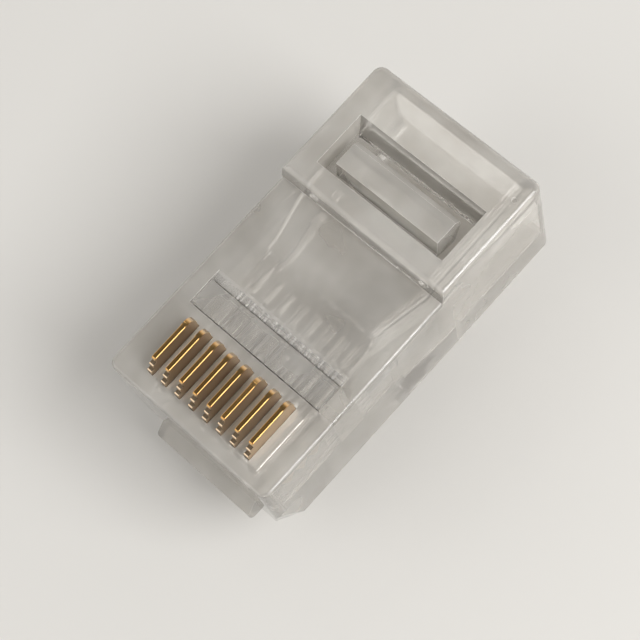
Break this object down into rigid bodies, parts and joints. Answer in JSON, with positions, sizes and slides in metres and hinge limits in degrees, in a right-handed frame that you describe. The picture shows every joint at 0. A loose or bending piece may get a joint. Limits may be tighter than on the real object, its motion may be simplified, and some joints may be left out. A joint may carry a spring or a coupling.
{
  "type": "modular plug",
  "caption": "Clear modular plug for a jacketed data cable: flat blade contacts on top, a sprung latch below, and a cable cavity with two clamp bars.",
  "frame": {"origin": "where the nose face meets the flat underside of the body, on the centre line", "axes": "+Y from the nose towards the cable end, +Z from the underside up to the contacts, +X across the plug towards contact 1"},
  "size_m": [0.0116, 0.0228, 0.0122],
  "materials": {
    "clear_plastic": "clear polycarbonate, slightly hazy",
    "gold_plate": "polished gold plate"
  },
  "bodies": {
    "housing": {"housing": "clear_plastic"},
    "latch": {"latch": "clear_plastic"},
    "jacket_clamp": {"jacket_clamp_bar": "clear_plastic"},
    "conductor_clamp": {"conductor_clamp_bar": "clear_plastic"},
    "contact_1": {"contact_1": "gold_plate"},
    "contact_2": {"contact_2": "gold_plate"},
    "contact_3": {"contact_3": "gold_plate"},
    "contact_4": {"contact_4": "gold_plate"},
    "contact_5": {"contact_5": "gold_plate"},
    "contact_6": {"contact_6": "gold_plate"},
    "contact_7": {"contact_7": "gold_plate"},
    "contact_8": {"contact_8": "gold_plate"}
  },
  "joints": [
    {"name": "latch_press", "type": "hinge", "parent": "housing", "child": "latch", "pos_m": [0, 0.00135, -0.00085], "axis": [1, 0, 0], "range_deg": [0, 11], "stiffness_Nm_per_rad": 0.05},
    {"name": "jacket_clamp_press", "type": "hinge", "parent": "housing", "child": "jacket_clamp", "pos_m": [0, 0.01545, 0.0063], "axis": [-1, 0, 0], "range_deg": [0, 40]},
    {"name": "conductor_clamp_press", "type": "slide", "parent": "housing", "child": "conductor_clamp", "axis": [0, 0, -1], "range_m": [0, 0.00075]},
    {"name": "contact_1_press", "type": "slide", "parent": "housing", "child": "contact_1", "axis": [0, 0, -1], "range_m": [0, 0.00185]},
    {"name": "contact_2_press", "type": "slide", "parent": "housing", "child": "contact_2", "axis": [0, 0, -1], "range_m": [0, 0.00185]},
    {"name": "contact_3_press", "type": "slide", "parent": "housing", "child": "contact_3", "axis": [0, 0, -1], "range_m": [0, 0.00185]},
    {"name": "contact_4_press", "type": "slide", "parent": "housing", "child": "contact_4", "axis": [0, 0, -1], "range_m": [0, 0.00185]},
    {"name": "contact_5_press", "type": "slide", "parent": "housing", "child": "contact_5", "axis": [0, 0, -1], "range_m": [0, 0.00185]},
    {"name": "contact_6_press", "type": "slide", "parent": "housing", "child": "contact_6", "axis": [0, 0, -1], "range_m": [0, 0.00185]},
    {"name": "contact_7_press", "type": "slide", "parent": "housing", "child": "contact_7", "axis": [0, 0, -1], "range_m": [0, 0.00185]},
    {"name": "contact_8_press", "type": "slide", "parent": "housing", "child": "contact_8", "axis": [0, 0, -1], "range_m": [0, 0.00185]}
  ]
}
